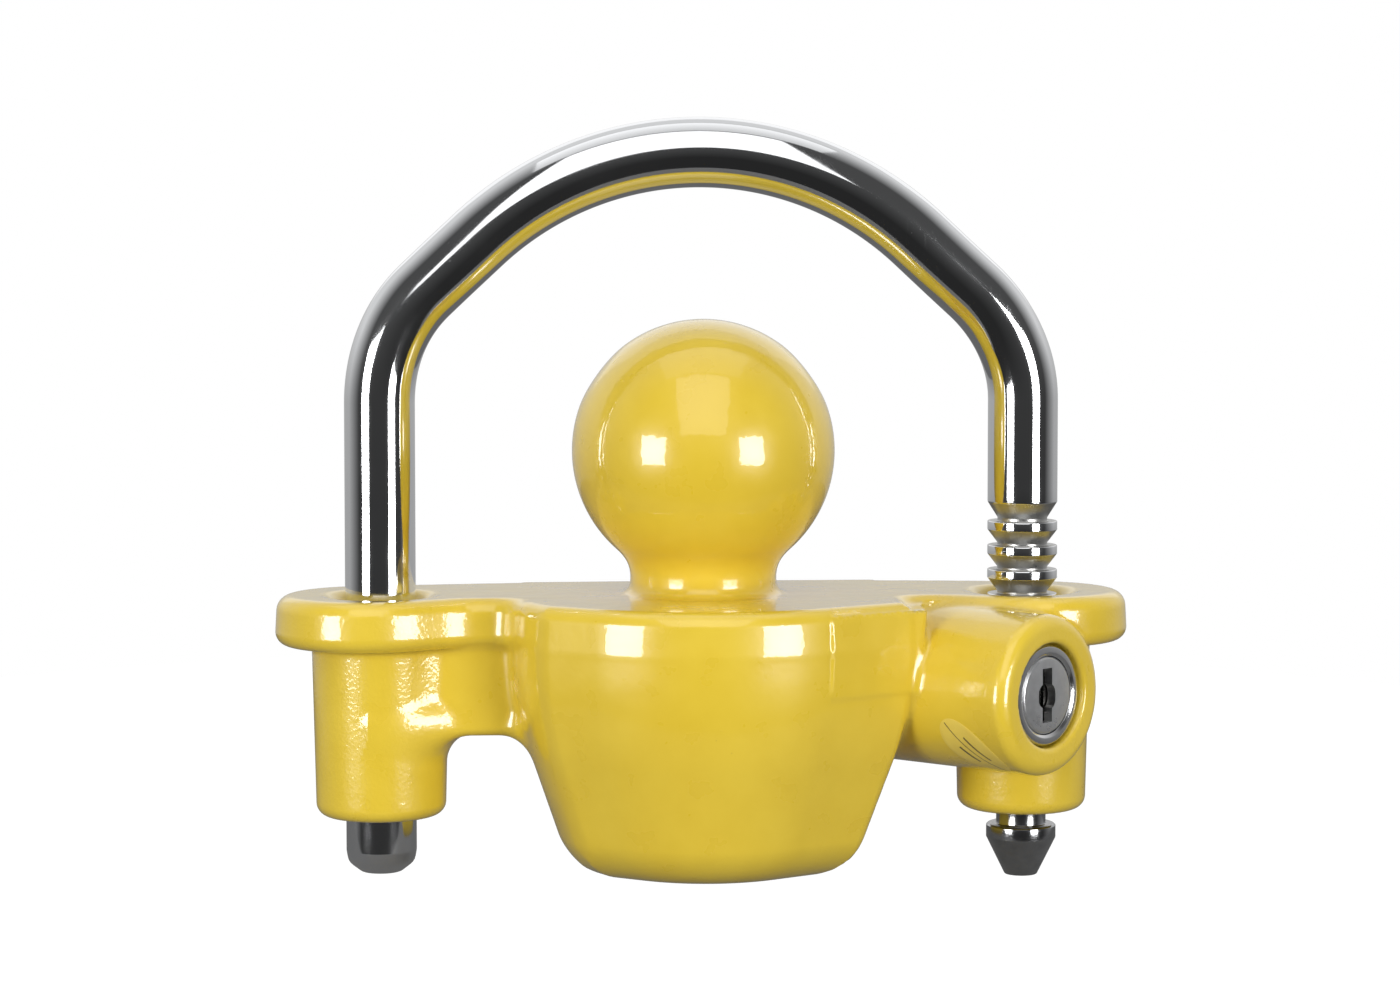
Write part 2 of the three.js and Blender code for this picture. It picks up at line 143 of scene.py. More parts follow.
def plan(x, y):
    ax = np.abs(x - 0.15)
    ear = np.hypot(ax - EAR_X, y - EAR_Y) - EAR_R
    bridge = np.maximum(np.maximum(ax - 60.0, -(y + 9.6)), y - rear(x))
    cup = rmax(lobe(x, y, 35.2, 36.1), y - rear(x), 3.0)
    k = 6.0 - 4.8 * ramp(y, 0.0, 9.0)
    return smin(smin(cup, bridge, k), ear, k)


def body_field(x, y, z):
    ax = np.abs(x)
    # plate with its ears
    top = rmax(plan(x, y) + 0.055 * (z - 45.0), np.abs(z - (PLATE_TOP - PLATE_T / 2)) - PLATE_T / 2, 2.6)
    # cup: tapered below, straight above, flat behind
    w = smin(24.6 + 0.342 * z, 34.8 + 0.04 * (z - 28.0), 2.6)
    lean = 0.095 * np.maximum(z - 43.0, 0.0)      # the rim's band leans back a little
    side = lobe(x, y, w - lean, w + 0.86 - lean) * 0.95
    cup = rmax(rmax(side, -z, 7.4), y - REAR_Y, 2.4)
    cup = rmax(cup, z - PLATE_TOP, 2.6)
    # leg bosses
    rb = BOSS_BOTTOM_R + (z - BOSS_BOTTOM) * (BOSS_TOP_R - BOSS_BOTTOM_R) / (PLATE_TOP - BOSS_BOTTOM)
    boss = rmax(np.hypot(ax - LEG_X, y) - rb, BOSS_BOTTOM - z, 2.3)
    boss = np.maximum(boss, z - 46.0)
    # arms between the bosses and the cup
    arm = np.maximum(np.maximum(ax - 57.0, 28.0 - ax), rmax(-(y + 8.5), 25.2 - z, 1.6))
    arm = np.maximum(np.maximum(arm, rmax(y - 13.0, 25.2 - z, 1.6)), z - 46.0)
    arms = rmin(arm, boss, 5.6 - 3.4 * ramp(z, 27.5, 33.0))
    d = smin(cup, arms, 5.2 - 2.6 * ramp(z, 26.5, 30.0))
    d = smin(d, top, 1.0 - 0.95 * ramp(z, 41.0, 43.5))
    # lock boss
    px, py, pz = x - FACE[0], y - FACE[1], z - FACE[2]
    n = px * ACR[0] + py * ACR[1]
    s = px * INW[0] + py * INW[1]
    rad = np.hypot(n, pz)
    lock = rmax(rad - LOCK_BOSS_R - 0.012 * s, -s, 2.5)
    lock = np.maximum(lock, s - LOCK_BOSS_LEN)
    # block where the cup's flat runs on past its side, above the lock boss
    xb = x - CUP_X
    flat = flat_of(xb, y, w + 0.86 - lean, FLAT_R) * 0.99
    edge = (xb - 36.3 - 0.115 * (z - 33.8)) * 0.99
    rim = rmax(rmax(flat, edge, 0.9), 33.6 - z, 1.2)
    rim = np.maximum(np.maximum(rim, 20.0 - xb), np.maximum(y - 2.0, z - 48.6))
    d = smin(d, rim, 0.7)
    d = smin(d, lock, 2.0)
    # neck and ball
    rho = np.hypot(x, y)
    neck = np.maximum(np.maximum(rho - NECK_R, z - 62.0), 44.0 - z)
    d = rmin(d, neck, 2.2)
    ball = np.sqrt(x * x + y * y + (z - BALL_Z) ** 2) - BALL_R
    d = smin(d, ball, 2.6)
    # bores for the legs, dished at the top
    leg = np.hypot(ax - LEG_X, y)
    dish = (leg - LEG_BORE_R - (z - (PLATE_TOP - COUNTERSINK_DEPTH)) * (COUNTERSINK_R - LEG_BORE_R) / COUNTERSINK_DEPTH) * 0.8
    bore = smin(leg - LEG_BORE_R, np.maximum(dish, -(z - 44.0)), 1.2)
    d = smax(d, -bore, 1.5)
    # bore for the lock, the bolt's window, the roll pin's hole
    seat = np.maximum(np.maximum(rad - 9.3, s - 4.0), -s - 4.0)
    d = smax(d, -seat, 0.9)
    d = np.maximum(d, -np.maximum(np.maximum(rad - 8.65, s - 24.6), -s - 4.0))
    window = np.maximum(np.maximum(np.abs(n - 9.3) - 2.3, np.abs(s - 19.4) - 2.3), np.abs(pz + 0.65) - 1.55)
    d = np.maximum(d, -window)
    hole = np.maximum(np.hypot(n, s - 15.6) - 1.55, np.abs(pz + 12.9) - 5.0)
    d = smax(d, -hole, 0.5)
    # core pockets behind, with a rib between
    wp = 18.6 + 0.34 * z
    wp = smin(wp, 28.0 + 0.0 * z, 4.0)
    pocket = rmax(rmax(lobe(x, np.minimum(y, 4.0), wp, wp + 0.4) * 0.95, 6.2 - z, 3.0), z - 41.0, 3.0)
    pocket = rmax(pocket, 2.6 - ax, 3.0)
    d = smax(d, -pocket, 1.8)
    return d


# ------------------------------------------------------------------ surface of a field
def surface(field, X, Y, Z, relax=4, steps=4):
    gx, gy, gz = np.meshgrid(X, Y, Z, indexing="ij")
    f = np.empty(gx.shape, np.float32)
    for i in range(0, len(X), 24):
        f[i:i + 24] = field(gx[i:i + 24], gy[i:i + 24], gz[i:i + 24])
    ins = f < 0
    cnt = np.zeros(tuple(v - 1 for v in f.shape), np.uint8)
    for a in (0, 1):
        for b in (0, 1):
            for c in (0, 1):
                cnt += ins[a:f.shape[0] - 1 + a, b:f.shape[1] - 1 + b, c:f.shape[2] - 1 + c]
    I, J, K = np.nonzero((cnt > 0) & (cnt < 8))
    index = np.full(cnt.shape, -1, np.int32)
    index[I, J, K] = np.arange(len(I))
    corner = lambda a, b, c: f[I + a, J + b, K + c].astype(float)
    P = np.zeros((len(I), 3)); N = np.zeros(len(I))
    axes = (X, Y, Z)
    base = (I, J, K)
    for ax in range(3):
        o1, o2 = [(1, 2), (0, 2), (0, 1)][ax]
        for u in (0, 1):
            for v in (0, 1):
                lo = [0, 0, 0]; lo[o1] = u; lo[o2] = v
                hi = list(lo); hi[ax] = 1
                f0, f1 = corner(*lo), corner(*hi)
                m = (f0 < 0) != (f1 < 0)
                t = np.where(m, f0 / np.where(m, f0 - f1, 1.0), 0.0)
                for k in range(3):
                    p0 = axes[k][base[k] + lo[k]]
                    p1 = axes[k][base[k] + hi[k]]
                    P[:, k] += np.where(m, p0 + (p1 - p0) * t, 0.0)
                N += m
    P /= N[:, None]
    quads = []
    for ax in range(3):
        sl0 = [slice(1, -1)] * 3; sl0[ax] = slice(0, -1)
        sl1 = [slice(1, -1)] * 3; sl1[ax] = slice(1, None)
        a0, a1 = ins[tuple(sl0)], ins[tuple(sl1)]
        A = np.argwhere(a0 != a1)
        flip = a0[A[:, 0], A[:, 1], A[:, 2]]
        A = A + 1
        A[:, ax] -= 1
        b, c = [(1, 2), (2, 0), (0, 1)][ax]
        def at(db, dc):
            q = A.copy(); q[:, b] -= db; q[:, c] -= dc
            return index[q[:, 0], q[:, 1], q[:, 2]]
        q = np.stack([at(1, 1), at(0, 1), at(0, 0), at(1, 0)], 1)
        q[~flip] = q[~flip][:, ::-1]
        quads.append(q)
    Q = np.concatenate(quads)
    Q = Q[(Q >= 0).all(1)]

    def grad(p, e=0.02):
        g = np.empty_like(p)
        for k in range(3):
            d = np.zeros(3); d[k] = e
            a, b = p + d, p - d
            g[:, k] = (field(a[:, 0], a[:, 1], a[:, 2]) - field(b[:, 0], b[:, 1], b[:, 2])) / (2 * e)
        return g

    def project(p, k):
        for _ in range(k):
            v, g = field(p[:, 0], p[:, 1], p[:, 2]), grad(p)
            g2 = np.maximum((g * g).sum(1), 0.15)
            step = -(v / g2)[:, None] * g
            ln = np.linalg.norm(step, axis=1, keepdims=True)
            p = p + step * np.minimum(1.0, 0.5 / np.maximum(ln, 1e-9))
        return p

    P = project(P, 2)
    e = np.concatenate([Q[:, [0, 1]], Q[:, [1, 2]], Q[:, [2, 3]], Q[:, [3, 0]]])
    deg = np.bincount(e.ravel(), minlength=len(P)).astype(float)
    for _ in range(relax):
        acc = np.stack([np.bincount(e[:, 0], P[e[:, 1], k], len(P)) + np.bincount(e[:, 1], P[e[:, 0], k], len(P)) for k in range(3)], 1)
        mv = acc / deg[:, None] - P
        g = grad(P); g /= np.maximum(np.linalg.norm(g, axis=1, keepdims=True), 1e-9)
        mv -= (mv * g).sum(1, keepdims=True) * g
        P = project(P + 0.55 * mv, 1)
    P = project(P, steps)
    g = grad(P, 0.05)
    g /= np.maximum(np.linalg.norm(g, axis=1, keepdims=True), 1e-9)
    return P, Q, g


def spaced(*parts):
    """Grid lines: (start, end, step) stretches that follow each other."""
    out = [np.array([parts[0][0]])]
    for a, b, h in parts:
        n = max(1, int(round((b - a) / h)))
        out.append(a + (b - a) * np.arange(1, n + 1) / n)
    return np.concatenate(out)


# ------------------------------------------------------------------ mesh helpers
def new_object(name, verts_mm, faces, normals=None, smooth=True, sharp=None):
    me = bpy.data.meshes.new(name)
    v = np.asarray(verts_mm, float) * MM
    if isinstance(faces, np.ndarray) and faces.ndim == 2:
        n, k = faces.shape
        me.vertices.add(len(v)); me.vertices.foreach_set("co", v.ravel())
        me.loops.add(n * k); me.loops.foreach_set("vertex_index", faces.ravel().astype(np.int32))
        me.polygons.add(n)
        me.polygons.foreach_set("loop_start", np.arange(0, n * k, k, dtype=np.int32))
        me.update(calc_edges=True)
    else:
        me.from_pydata([tuple(p) for p in v], [], [tuple(int(i) for i in q) for q in faces])
    me.validate()
    me.polygons.foreach_set("use_smooth", np.full(len(me.polygons), smooth))
    if sharp is not None:
        me.set_sharp_from_angle(angle=math.radians(sharp))
    if normals is not None and len(me.vertices) == len(normals):
        me.normals_split_custom_set_from_vertices([tuple(q) for q in normals])
    me.update()
    o = bpy.data.objects.new(name, me)
    scene.collection.objects.link(o)
    return o


def to_world(p):
    """Lock frame (across, inward, up) to the part's frame, mm."""
    p = np.asarray(p, float)
    return FACE + p[..., :1] * ACR + p[..., 1:2] * INW + p[..., 2:3] * UP


LOCK_M = Matrix(((ACR[0], INW[0], 0, FACE[0] * MM), (ACR[1], INW[1], 0, FACE[1] * MM), (0, 0, 1, FACE[2] * MM), (0, 0, 0, 1)))


def rounded_profile(pts, r=0.15, n=3):
    """Rounds the corners of a (radius, length) profile. pts rows may carry their own radius as a third value."""
    out = []
    P = [np.array(p[:2], float) for p in pts]
    R = [p[2] if len(p) > 2 else r for p in pts]
    for i, p in enumerate(P):
        if i in (0, len(P) - 1) or R[i] <= 0:
            out.append(p); continue
        a, b = P[i - 1] - p, P[i + 1] - p
        la, lb = np.linalg.norm(a), np.linalg.norm(b)
        if la < 1e-6 or lb < 1e-6:
            out.append(p); continue
        a, b = a / la, b / lb
        c = float(np.clip(a @ b, -1, 1))
        ang = math.acos(c)
        if ang > math.pi - 0.05:
            out.append(p); continue
        t = min(R[i] / math.tan(ang / 2), 0.42 * la, 0.42 * lb)
        q0, q1 = p + a * t, p + b * t
        for k in range(n + 1):
            u = k / n
            out.append((1 - u) ** 2 * q0 + 2 * u * (1 - u) * p + u * u * q1)
    return np.array(out)


def turned(name, pts, seg=96, closed=False, local=True, place=None, sharp=35):
    """A turned piece about the lock's axis (or about Z when local is False)."""
    prof = np.asarray(pts, float)
    a = 2 * np.pi * np.arange(seg) / seg
    rings, idx, verts = [], 0, []
    for r, s in prof:
        if r < 1e-6:
            verts.append([[0.0, s, 0.0]]); rings.append([idx]); idx += 1
        else:
            verts.append(np.stack([r * np.cos(a), np.full(seg, s), r * np.sin(a)], 1)); rings.append(list(range(idx, idx + seg))); idx += seg
    V = np.concatenate([np.asarray(v, float) for v in verts])
    F = []
    m = len(rings)
    for k in range(m if closed else m - 1):
        A, B = rings[k], rings[(k + 1) % m]
        for i in range(seg):
            j = (i + 1) % seg
            if len(A) == 1 and len(B) == 1:
                continue
            if len(A) == 1:
                F.append((A[0], B[i], B[j]))
            elif len(B) == 1:
                F.append((A[i], B[0], A[j]))
            else:
                F.append((A[i], B[i], B[j], A[j]))
    if local:
        V = to_world(V)
    else:
        V = np.stack([V[:, 0], V[:, 2], V[:, 1]], 1)
        if place is not None:
            V = V + np.asarray(place)
    o = new_object(name, V, F, sharp=sharp)
    fix_outward(o)
    return o


def fix_outward(o):
    bm = bmesh.new(); bm.from_mesh(o.data)
    bmesh.ops.recalc_face_normals(bm, faces=bm.faces)
    if bm.calc_volume(signed=True) < 0:
        bmesh.ops.reverse_faces(bm, faces=bm.faces)
    bm.to_mesh(o.data); bm.free()
    o.data.update()


def prism(name, outlines, s0, s1, frame="lock", bevel=0.0, keep=True):
    """Flat outlines in (across, up), carried along the lock's axis from s0 to s1, with a small bevel on both faces.
    outlines: first the outer one, then holes."""
    cu = bpy.data.curves.new(name, "CURVE")
    cu.dimensions = "2D"; cu.fill_mode = "BOTH"
    cu.extrude = ((s1 - s0) / 2 - bevel) * MM
    cu.bevel_depth = bevel * MM; cu.bevel_resolution = 1
    cu.offset = -bevel * MM
    for pts in outlines:
        sp = cu.splines.new("POLY"); sp.points.add(len(pts) - 1); sp.use_cyclic_u = True
        for i, (u, v) in enumerate(pts):
            sp.points[i].co = (u * MM, v * MM, 0, 1)
    o = bpy.data.objects.new(name + "_c", cu)
    scene.collection.objects.link(o)
    dg = bpy.context.evaluated_depsgraph_get()
    me = bpy.data.meshes.new_from_object(o.evaluated_get(dg))
    bpy.data.objects.remove(o); bpy.data.curves.remove(cu)
    # curve axes (x, y, z) become (across, up, -inward), then the piece is centred between s0 and s1
    sm = (s0 + s1) / 2 * MM
    turn = Matrix(((1, 0, 0, 0), (0, 0, -1, sm), (0, 1, 0, 0), (0, 0, 0, 1)))
    me.transform((LOCK_M if frame == "lock" else Matrix.Identity(4)) @ turn)
    bm = bmesh.new(); bm.from_mesh(me)
    bmesh.ops.remove_doubles(bm, verts=bm.verts, dist=2e-6)
    bmesh.ops.recalc_face_normals(bm, faces=bm.faces)
    bm.to_mesh(me); bm.free()
    me.materials.clear()
    me.polygons.foreach_set("use_smooth", np.full(len(me.polygons), True))
    me.set_sharp_from_angle(angle=math.radians(32))
    me.name = name
    o = bpy.data.objects.new(name, me)
    scene.collection.objects.link(o)
    return o


def block(name, x0, x1, s0, s1, z0, z1, bevel=0.0):
    bm = bmesh.new()
    bmesh.ops.create_cube(bm, size=1.0)
    for v in bm.verts:
        v.co = Vector(((x0 + x1) / 2 + v.co.x * (x1 - x0), (s0 + s1) / 2 + v.co.y * (s1 - s0), (z0 + z1) / 2 + v.co.z * (z1 - z0)))
    if bevel > 0:
        bmesh.ops.bevel(bm, geom=list(bm.edges), offset=bevel, segments=2, affect="EDGES", profile=0.6)
    for v in bm.verts:
        v.co = Vector(to_world(np.array(v.co))) * MM
    bmesh.ops.recalc_face_normals(bm, faces=bm.faces)
    me = bpy.data.meshes.new(name); bm.to_mesh(me); bm.free()
    o = bpy.data.objects.new(name, me); scene.collection.objects.link(o)
    return o


def combine(target, others, op="DIFFERENCE"):
    """Boolean of the target with the others, which are then removed."""
    for k in others:
        m = target.modifiers.new("b", "BOOLEAN")
        m.operation = op; m.object = k; m.solver = "EXACT"
        dg = bpy.context.evaluated_depsgraph_get()
        me = bpy.data.meshes.new_from_object(target.evaluated_get(dg))
        target.modifiers.remove(m)
        old = target.data
        target.data = me; bpy.data.meshes.remove(old)
        me.name = target.name
        dead = k.data
        bpy.data.objects.remove(k); bpy.data.meshes.remove(dead)
    me = target.data
    bm = bmesh.new(); bm.from_mesh(me)
    bmesh.ops.remove_doubles(bm, verts=bm.verts, dist=1e-6)
    bmesh.ops.dissolve_degenerate(bm, edges=bm.edges, dist=1e-6)
    bm.to_mesh(me); bm.free()
    me.polygons.foreach_set("use_smooth", np.full(len(me.polygons), True))
    me.set_sharp_from_angle(angle=math.radians(32))
    me.update()
    return target


def swept(name, pts, r, sides=12, ends=True):
    """A round wire along the points, mm, with rounded ends."""
    P = np.asarray(pts, float)
    Tn = np.gradient(P, axis=0); Tn /= np.linalg.norm(Tn, axis=1, keepdims=True)
    up = np.array([0, 0, 1.0]) if abs(Tn[0, 2]) < 0.9 else np.array([1.0, 0, 0])
    n0 = np.cross(Tn[0], up); n0 /= np.linalg.norm(n0)
    normals = [n0]
    for i in range(1, len(P)):
        n = normals[-1] - (normals[-1] @ Tn[i]) * Tn[i]
        normals.append(n / np.linalg.norm(n))
    a = 2 * np.pi * np.arange(sides) / sides
    rings, radii = [], []
    seq = [(0, -0.6, 0.75)] + [(i, 0, 1.0) for i in range(len(P))] + [(len(P) - 1, 0.6, 0.75)]
    V = []
    for i, off, k in seq:
        n, t = normals[i], Tn[i]
        b = np.cross(t, n)
        V.append(P[i] + t * off * r + (np.cos(a)[:, None] * n + np.sin(a)[:, None] * b) * r * k)
    m = len(V)
    V = np.concatenate(V)
    F = []
    for k in range(m - 1):
        for i in range(sides):
            j = (i + 1) % sides
            F.append((k * sides + i, k * sides + j, (k + 1) * sides + j, (k + 1) * sides + i))
    F.append(tuple(range(sides))[::-1]); F.append(tuple(range((m - 1) * sides, m * sides)))
    o = new_object(name, V, F, sharp=60)
    fix_outward(o)
    return o


# ------------------------------------------------------------------ materials
def material(name, base, rough, metal=0.0, coat=0.0, coat_rough=0.03, ior=1.5):
    m = bpy.data.materials.new(name)
    m.use_nodes = True
    nt = m.node_tree
    b = nt.nodes["Principled BSDF"]
    b.inputs["Base Color"].default_value = (*base, 1)
    b.inputs["Roughness"].default_value = rough
    b.inputs["Metallic"].default_value = metal
    b.inputs["Coat Weight"].default_value = coat
    b.inputs["Coat Roughness"].default_value = coat_rough
    b.inputs["IOR"].default_value = ior
    return m, nt, b


class Net:
    """Short hand for node trees."""
    def __init__(self, nt):
        self.nt = nt
        self.co = nt.nodes.new("ShaderNodeTexCoord")
        self.pos = self.co.outputs["Object"]

    def n(self, kind, **kw):
        x = self.nt.nodes.new(kind)
        for k, v in kw.items():
            if hasattr(x, k):
                setattr(x, k, v)
            else:
                x.inputs[k].default_value = v
        return x

    def link(self, a, b):
        self.nt.links.new(a, b)

    def noise(self, scale, detail=2.0, rough=0.5, vec=None, dist=0.0):
        x = self.n("ShaderNodeTexNoise")
        x.inputs["Scale"].default_value = scale
        x.inputs["Detail"].default_value = detail
        x.inputs["Roughness"].default_value = rough
        x.inputs["Distortion"].default_value = dist
        self.link(vec or self.pos, x.inputs["Vector"])
        return x.outputs["Fac"]

    def scaled(self, s, loc=(0, 0, 0), rot=(0, 0, 0)):
        x = self.n("ShaderNodeMapping")
        x.inputs["Scale"].default_value = s
        x.inputs["Location"].default_value = loc
        x.inputs["Rotation"].default_value = rot
        self.link(self.pos, x.inputs["Vector"])
        return x.outputs["Vector"]

    def voronoi(self, scale, vec=None, feature="F1"):
        x = self.n("ShaderNodeTexVoronoi", feature=feature)
        x.inputs["Scale"].default_value = scale
        self.link(vec or self.pos, x.inputs["Vector"])
        return x.outputs["Distance"]

    def range(self, v, a, b, c, d):
        x = self.n("ShaderNodeMapRange")
        self.link(v, x.inputs["Value"])
        for k, q in zip(("From Min", "From Max", "To Min", "To Max"), (a, b, c, d)):
            x.inputs[k].default_value = q
        return x.outputs["Result"]

    def math(self, op, a, b=0.5, clamp=False):
        x = self.n("ShaderNodeMath", operation=op, use_clamp=clamp)
        for i, v in enumerate((a, b)):
            if isinstance(v, (int, float)):
                x.inputs[i].default_value = v
            else:
                self.link(v, x.inputs[i])
        return x.outputs[0]

    def mix(self, f, a, b):
        x = self.n("ShaderNodeMix", data_type="RGBA")
        for k, v in ((0, f), (6, a), (7, b)):
            if isinstance(v, (int, float)):
                x.inputs[k].default_value = v
            elif isinstance(v, tuple):
                x.inputs[k].default_value = (*v, 1) if len(v) == 3 else v
            else:
                self.link(v, x.inputs[k])
        return x.outputs[2]

    def bump(self, height, strength, distance, normal=None):
        x = self.n("ShaderNodeBump")
        x.inputs["Strength"].default_value = strength
        x.inputs["Distance"].default_value = distance
        self.link(height, x.inputs["Height"])
        if normal is not None:
            self.link(normal, x.inputs["Normal"])
        return x.outputs["Normal"]


def enamel():
    m, nt, b = material("yellow_enamel", (0.76, 0.53, 0.045), 0.3, coat=1.0, coat_rough=0.035)
    g = Net(nt)
    big, mid = g.noise(34, 3), g.noise(150, 3, 0.55)
    tone = g.math("ADD", g.math("MULTIPLY", big, 0.65), g.math("MULTIPLY", mid, 0.35))
    col = g.mix(g.range(tone, 0.38, 0.62, 0.0, 1.0), (0.715, 0.505, 0.036), (0.765, 0.552, 0.045))
    # painted shade: a deeper, browner colour in the recesses, where shade falls; paler on the sharp convex edges
    geo = g.n("ShaderNodeNewGeometry")
    point = geo.outputs["Pointiness"]
    col = g.mix(g.range(point, 0.44, 0.5, 0.5, 0.0), col, (0.60, 0.38, 0.022))
    col = g.mix(g.range(point, 0.53, 0.62, 0.0, 0.22), col, (0.84, 0.64, 0.11))
    specks = g.range(g.voronoi(300), 0.03, 0.055, 0.4, 0.0)
    spots = g.math("MULTIPLY", specks, g.range(g.noise(60, 1), 0.64, 0.70, 0.0, 1.0))
    col = g.mix(spots, col, (0.36, 0.22, 0.03))
    g.link(col, b.inputs["Base Color"])
    g.link(g.range(mid, 0.3, 0.7, 0.26, 0.34), b.inputs["Roughness"])
    peel = g.noise(900, 1.5, 0.45)
    waves = g.noise(120, 1.5, 0.5)
    pits = g.range(g.voronoi(260), 0.0, 0.10, 1.0, 0.0)
    rare = g.math("MULTIPLY", pits, g.range(g.noise(52, 1), 0.62, 0.70, 0.0, 1.0))
    h = g.math("SUBTRACT", g.math("ADD", g.math("MULTIPLY", peel, 0.34), g.math("MULTIPLY", waves, 1.1)), g.math("MULTIPLY", rare, 0.7))
    # the ears and leg bosses carry a coarser, pebbled coat than the cup and the ball
    sep = g.n("ShaderNodeSeparateXYZ"); g.link(g.pos, sep.inputs[0])
    outer = g.range(g.math("ABSOLUTE", sep.outputs[0]), 0.040, 0.046, 0.0, 1.0)
    low = g.range(sep.outputs[2], 0.049, 0.0505, 1.0, 0.0)
    pebble = g.math("MULTIPLY", g.noise(1500, 1.5, 0.5), g.math("MULTIPLY", outer, low))
    h = g.math("ADD", h, g.math("MULTIPLY", pebble, 0.7))
    nrm = g.bump(h, 1.0, 0.00005)
    g.link(nrm, b.inputs["Normal"]); g.link(nrm, b.inputs["Coat Normal"])
    return m


def chrome_bar():
    m, nt, b = material("chrome_bar", (0.80, 0.81, 0.825), 0.07, metal=1.0)
    g = Net(nt)
    haze = g.noise(60, 4, 0.6)
    b_r = g.range(haze, 0.35, 0.7, 0.045, 0.11)
    speck = g.range(g.voronoi(900), 0.02, 0.05, 1.0, 0.0)
    some = g.math("MULTIPLY", speck, g.range(g.noise(90, 1), 0.6, 0.7, 0.0, 1.0))
    scr = g.noise(40, 3, 0.6, vec=g.scaled((60, 60, 1.2)))
    scratches = g.math("MULTIPLY", g.range(scr, 0.62, 0.66, 0.0, 1.0), g.range(g.noise(24, 1), 0.52, 0.62, 0.0, 0.5))
    g.link(g.math("ADD", b_r, g.math("ADD", g.math("MULTIPLY", some, 0.35), g.math("MULTIPLY", scratches, 0.12))), b.inputs["Roughness"])
    g.link(g.mix(g.math("MULTIPLY", some, 0.7), (0.80, 0.81, 0.825), (0.32, 0.32, 0.33)), b.inputs["Base Color"])
    h = g.math("ADD", g.math("MULTIPLY", g.noise(260, 2), 0.5), g.math("MULTIPLY", g.noise(70, 2), 1.0))
    h = g.math("SUBTRACT", h, g.math("MULTIPLY", some, 1.0))
    g.link(g.bump(h, 1.0, 0.00001), b.inputs["Normal"])
    return m


def turned_steel(name, base, r0, r1, metal=1.0, scale=2600.0, depth=0.000004, along="z"):
    """Machined steel with fine turning marks across one axis."""
    m, nt, b = material(name, base, r0, metal=metal)
    g = Net(nt)
    s = {"z": (8, 8, scale), "x": (scale, 8, 8), "y": (8, scale, 8)}[along]
    marks = g.noise(1.0, 3, 0.7, vec=g.scaled(s))
    cloud = g.noise(210, 4, 0.6)
    g.link(g.range(g.math("ADD", g.math("MULTIPLY", marks, 0.5), g.math("MULTIPLY", cloud, 0.5)), 0.35, 0.65, r0, r1), b.inputs["Roughness"])
    dark = tuple(0.62 * v for v in base)
    g.link(g.mix(g.range(cloud, 0.4, 0.72, 0.0, 0.6), base, dark), b.inputs["Base Color"])
    g.link(g.bump(g.math("ADD", marks, g.math("MULTIPLY", cloud, 0.6)), 1.0, depth), b.inputs["Normal"])
    return m


def plated(name, base, r0, r1, depth=0.000006, scale=500):
    m, nt, b = material(name, base, r0, metal=1.0)
    g = Net(nt)
    n1, n2 = g.noise(scale, 3, 0.55), g.noise(scale * 0.22, 3, 0.6)
    g.link(g.range(g.math("ADD", g.math("MULTIPLY", n1, 0.5), g.math("MULTIPLY", n2, 0.5)), 0.35, 0.65, r0, r1), b.inputs["Roughness"])
    g.link(g.mix(g.range(n2, 0.4, 0.7, 0.0, 0.5), base, tuple(0.72 * v for v in base)), b.inputs["Base Color"])
    g.link(g.bump(n1, 1.0, depth), b.inputs["Normal"])
    return m


def label_film():
    """Thin clear film over yellow, with a plain printed rule and two short bars: no words."""
    m, nt, b = material("label_film", (0.76, 0.56, 0.09), 0.38, coat=0.5, coat_rough=0.12)
    g = Net(nt)
    uv = g.n("ShaderNodeUVMap"); uv.uv_map = "UVMap"
    sep = g.n("ShaderNodeSeparateXYZ"); g.link(uv.outputs["UV"], sep.inputs[0])
    u, v = sep.outputs[0], sep.outputs[1]

    def bar(c, a, b_, half):
        """1 within half of v = c and between u = a and u = b."""
        on = g.math("LESS_THAN", g.math("ABSOLUTE", g.math("SUBTRACT", v, c)), half)
        on = g.math("MULTIPLY", on, g.math("GREATER_THAN", u, a))
        return g.math("MULTIPLY", on, g.math("LESS_THAN", u, b_))
    ink = g.math("ADD", bar(0.50, 0.03, 0.97, 0.013), g.math("ADD", bar(0.66, 0.36, 0.66, 0.028), bar(0.34, 0.30, 0.72, 0.022)), clamp=True)
    paper = g.mix(g.range(g.noise(300, 3), 0.35, 0.7, 0.0, 1.0), (0.80, 0.61, 0.11), (0.76, 0.56, 0.09))
    g.link(g.mix(g.math("MULTIPLY", ink, 0.92), paper, (0.07, 0.05, 0.03)), b.inputs["Base Color"])
    g.link(g.range(g.noise(500, 3), 0.3, 0.7, 0.32, 0.46), b.inputs["Roughness"])
    g.link(g.bump(g.noise(900, 2), 1.0, 0.000008), b.inputs["Normal"])
    return m


M_ENAMEL = enamel()
M_BAR = chrome_bar()
M_GROOVE = turned_steel("turned_grooves", (0.50, 0.50, 0.49), 0.24, 0.46, scale=3200.0, depth=0.000006)
M_SHELL = plated("plated_shell", (0.74, 0.745, 0.755), 0.10, 0.2)
M_FACE = plated("satin_plug_face", (0.80, 0.81, 0.825), 0.26, 0.40, depth=0.000004, scale=900)
# painted shade: the wafers' steel is darkened so the keyway looks as dark as its shaded hollow
M_WAFER_SHADE_DARK = plated("wafer_nickel", (0.22, 0.215, 0.20), 0.16, 0.3)
M_TIP = turned_steel("turned_tip", (0.46, 0.465, 0.475), 0.09, 0.2, scale=2600.0, depth=0.000003)
M_SPRING = plated("spring_wire", (0.56, 0.565, 0.575), 0.2, 0.34)
M_STEEL = turned_steel("plain_steel", (0.46, 0.465, 0.475), 0.26, 0.42, scale=1500.0)
M_LABEL = label_film()


def dress(o, mat, body, nodes):
    o.data.materials.clear()
    o.data.materials.append(mat)
    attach(o, body)
    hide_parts(*nodes)
    return o


